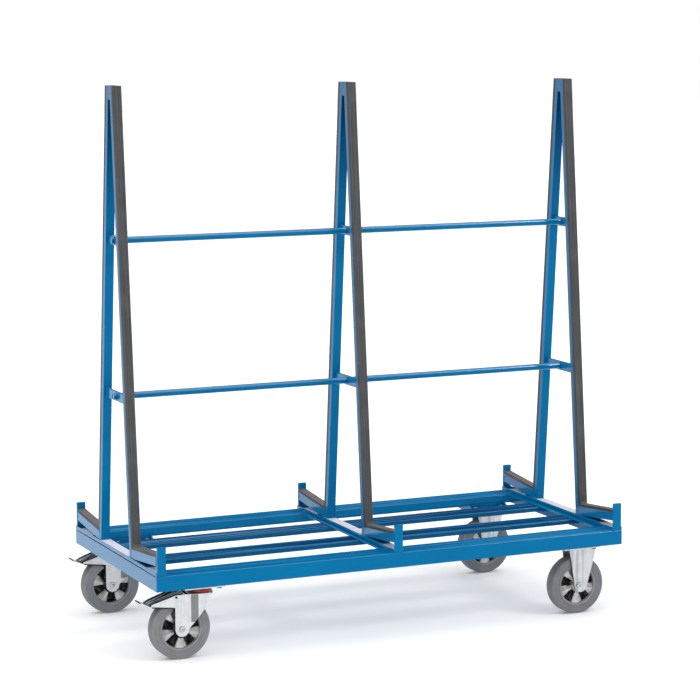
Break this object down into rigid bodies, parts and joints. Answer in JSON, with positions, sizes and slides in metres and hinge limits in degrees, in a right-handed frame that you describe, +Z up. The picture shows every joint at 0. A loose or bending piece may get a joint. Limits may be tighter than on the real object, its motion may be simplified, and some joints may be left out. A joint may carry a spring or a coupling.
{
  "type": "sheet goods cart",
  "caption": "Blue steel A-frame cart that carries sheet goods upright, with rubber-padded leaning posts, edge stops, tie tubes, braked swivel castors and fixed castors.",
  "frame": {"origin": "on the floor, below the middle of the whole cart with its brake pedals", "axes": "+Z up, +X along the cart towards the fixed castors, +Y across it towards the rear side"},
  "size_m": [1.756, 0.815, 1.827],
  "materials": {
    "blue_paint": "gloss",
    "strip_rubber": "matte",
    "zinc": "satin",
    "rim_aluminium": "satin",
    "bearing_steel": "satin",
    "tyre_grey": "matte",
    "pedal_black": "satin"
  },
  "bodies": {
    "chassis": {"front_rail": "blue_paint", "rear_rail": "blue_paint", "front_slat": "blue_paint", "rear_slat": "blue_paint", "left_end_rail": "blue_paint", "right_end_rail": "blue_paint", "centre_crossmember": "blue_paint", "left_foot_beam": "blue_paint", "centre_foot_beam": "blue_paint", "right_foot_beam": "blue_paint", "left_front_post": "blue_paint", "left_rear_post": "blue_paint", "centre_front_post": "blue_paint", "centre_rear_post": "blue_paint", "right_front_post": "blue_paint", "right_rear_post": "blue_paint", "left_front_post_pad": "strip_rubber", "left_rear_post_pad": "strip_rubber", "centre_front_post_pad": "strip_rubber", "centre_rear_post_pad": "strip_rubber", "right_front_post_pad": "strip_rubber", "right_rear_post_pad": "strip_rubber", "left_front_foot_pad": "strip_rubber", "left_rear_foot_pad": "strip_rubber", "centre_front_foot_pad": "strip_rubber", "centre_rear_foot_pad": "strip_rubber", "right_front_foot_pad": "strip_rubber", "right_rear_foot_pad": "strip_rubber", "left_upper_spreader": "blue_paint", "left_lower_spreader": "blue_paint", "centre_upper_spreader": "blue_paint", "centre_lower_spreader": "blue_paint", "right_upper_spreader": "blue_paint", "right_lower_spreader": "blue_paint", "upper_tie_tube": "blue_paint", "lower_tie_tube": "blue_paint", "front_swivel_plate": "zinc", "rear_swivel_plate": "zinc", "front_fixed_fork": "zinc", "rear_fixed_fork": "zinc", "front_fixed_axle": "bearing_steel", "rear_fixed_axle": "bearing_steel"},
    "front_swivel": {"front_swivel_fork": "zinc", "front_swivel_axle": "bearing_steel"},
    "rear_swivel": {"rear_swivel_fork": "zinc", "rear_swivel_axle": "bearing_steel"},
    "front_swivel_wheel": {"front_swivel_rim": "rim_aluminium", "front_swivel_bearing": "bearing_steel", "front_swivel_tyre": "tyre_grey"},
    "rear_swivel_wheel": {"rear_swivel_rim": "rim_aluminium", "rear_swivel_bearing": "bearing_steel", "rear_swivel_tyre": "tyre_grey"},
    "front_fixed_wheel": {"front_fixed_rim": "rim_aluminium", "front_fixed_bearing": "bearing_steel", "front_fixed_tyre": "tyre_grey"},
    "rear_fixed_wheel": {"rear_fixed_rim": "rim_aluminium", "rear_fixed_bearing": "bearing_steel", "rear_fixed_tyre": "tyre_grey"},
    "front_pedal": {"front_brake_pedal": "pedal_black"},
    "rear_pedal": {"rear_brake_pedal": "pedal_black"}
  },
  "joints": [
    {"name": "front_swivel_turn", "type": "hinge", "parent": "chassis", "child": "front_swivel", "pos_m": [-0.652, -0.342, 0.22], "axis": [0, 0, 1], "continuous": true},
    {"name": "rear_swivel_turn", "type": "hinge", "parent": "chassis", "child": "rear_swivel", "pos_m": [-0.652, 0.342, 0.22], "axis": [0, 0, 1], "continuous": true},
    {"name": "front_swivel_wheel_spin", "type": "hinge", "parent": "front_swivel", "child": "front_swivel_wheel", "pos_m": [-0.724, -0.342, 0.1], "axis": [0, 1, 0], "continuous": true},
    {"name": "rear_swivel_wheel_spin", "type": "hinge", "parent": "rear_swivel", "child": "rear_swivel_wheel", "pos_m": [-0.724, 0.342, 0.1], "axis": [0, 1, 0], "continuous": true},
    {"name": "front_fixed_wheel_spin", "type": "hinge", "parent": "chassis", "child": "front_fixed_wheel", "pos_m": [0.73, -0.342, 0.1], "axis": [0, 1, 0], "continuous": true},
    {"name": "rear_fixed_wheel_spin", "type": "hinge", "parent": "chassis", "child": "rear_fixed_wheel", "pos_m": [0.73, 0.342, 0.1], "axis": [0, 1, 0], "continuous": true},
    {"name": "front_pedal_press", "type": "hinge", "parent": "front_swivel", "child": "front_pedal", "pos_m": [-0.744, -0.342, 0.207], "axis": [0, -1, 0], "range_deg": [0, 10]},
    {"name": "rear_pedal_press", "type": "hinge", "parent": "rear_swivel", "child": "rear_pedal", "pos_m": [-0.744, 0.342, 0.207], "axis": [0, -1, 0], "range_deg": [0, 10]}
  ]
}
